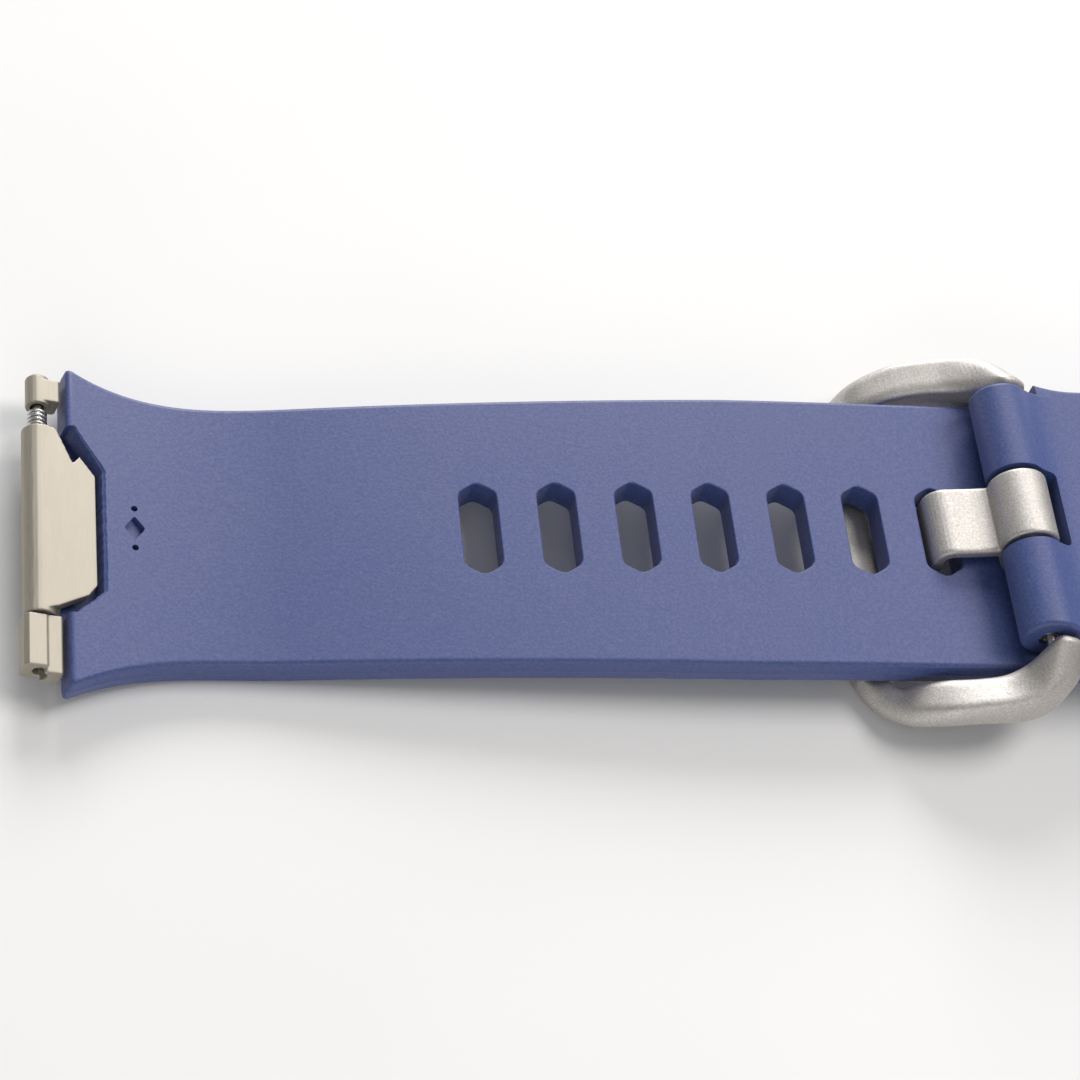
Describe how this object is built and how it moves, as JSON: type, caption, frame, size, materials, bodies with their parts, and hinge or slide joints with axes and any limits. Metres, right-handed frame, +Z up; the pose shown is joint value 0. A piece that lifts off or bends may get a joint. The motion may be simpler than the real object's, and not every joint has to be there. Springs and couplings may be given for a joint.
{
  "type": "watch band",
  "caption": "Two-piece rubber watch band, buckled, with a pin buckle, elongated holes, two keeper loops and a sprung quick-release latch at each watch end.",
  "frame": {"origin": "middle of the band's box on the surface it lies on", "axes": "+X along the band from the hole strap's watch end to the buckle strap's watch end, +Y across it, +Z up out of the wrist side"},
  "size_m": [0.1604, 0.0308, 0.0098],
  "materials": {
    "blue_rubber": "matte fine-grained fluoroelastomer, slightly glossy on the flared end",
    "keeper_rubber": "matte moulded rubber",
    "blasted_metal": "bead-blasted champagne silver with soft edges",
    "satin_latch_metal": "satin warm nickel, faint brushing across the lever",
    "bright_steel": "bright drawn steel"
  },
  "bodies": {
    "hole_strap_side": {"hole_strap": "blue_rubber", "insert_plate_a": "satin_latch_metal", "end_block_far_a": "satin_latch_metal", "end_block_near_a": "satin_latch_metal", "latch_axle_a": "bright_steel", "latch_spring_a": "bright_steel"},
    "latch_lever_a": {"latch_lever_a": "satin_latch_metal"},
    "buckle_frame": {"buckle_frame": "blasted_metal"},
    "buckle_tang": {"buckle_tang": "blasted_metal"},
    "buckle_strap_side": {"buckle_strap": "blue_rubber", "fixed_keeper": "keeper_rubber", "spring_bar_tube": "bright_steel", "spring_bar_spring": "bright_steel", "insert_plate_b": "satin_latch_metal", "end_block_far_b": "satin_latch_metal", "end_block_near_b": "satin_latch_metal", "latch_axle_b": "bright_steel", "latch_spring_b": "bright_steel"},
    "latch_lever_b": {"latch_lever_b": "satin_latch_metal"},
    "plunger_far": {"spring_bar_plunger_far": "bright_steel"},
    "plunger_near": {"spring_bar_plunger_near": "bright_steel"},
    "sliding_keeper": {"sliding_keeper": "keeper_rubber"}
  },
  "joints": [
    {"name": "latch_a_press", "type": "hinge", "parent": "hole_strap_side", "child": "latch_lever_a", "pos_m": [-0.07885, 0, 0.00288], "axis": [0, 1, 0], "range_deg": [0, 12], "stiffness_Nm_per_rad": 0.02, "springref_deg": -5.73},
    {"name": "latch_b_press", "type": "hinge", "parent": "buckle_strap_side", "child": "latch_lever_b", "pos_m": [0.0789, 0, 0.002], "axis": [0, -1, 0], "range_deg": [0, 12], "stiffness_Nm_per_rad": 0.02, "springref_deg": -5.73},
    {"name": "buckle_strap_swing", "type": "hinge", "parent": "hole_strap_side", "child": "buckle_strap_side", "pos_m": [-0.00805, 0, 0.00752], "axis": [0, -1, 0], "range_deg": [0, 75]},
    {"name": "buckle_frame_swing", "type": "hinge", "parent": "hole_strap_side", "child": "buckle_frame", "pos_m": [-0.00805, 0, 0.00752], "axis": [0, -1, 0], "range_deg": [0, 3]},
    {"name": "tang_play", "type": "hinge", "parent": "buckle_frame", "child": "buckle_tang", "pos_m": [-0.00805, 0, 0.00752], "axis": [0, -1, 0], "range_deg": [0, 3]},
    {"name": "plunger_far_slide", "type": "slide", "parent": "buckle_strap_side", "child": "plunger_far", "axis": [0, -1, 0], "range_m": [0, 0.0014], "stiffness_N_per_m": 800, "springref_m": -0.0008, "deforming": ["spring_bar_spring"]},
    {"name": "plunger_near_slide", "type": "slide", "parent": "buckle_strap_side", "child": "plunger_near", "axis": [0, 1, 0], "range_m": [0, 0.0014], "stiffness_N_per_m": 800, "springref_m": -0.0008, "deforming": ["spring_bar_spring"]},
    {"name": "keeper_slide", "type": "slide", "parent": "buckle_strap_side", "child": "sliding_keeper", "axis": [1, 0, 0], "range_m": [-0.003, 0.004]}
  ]
}
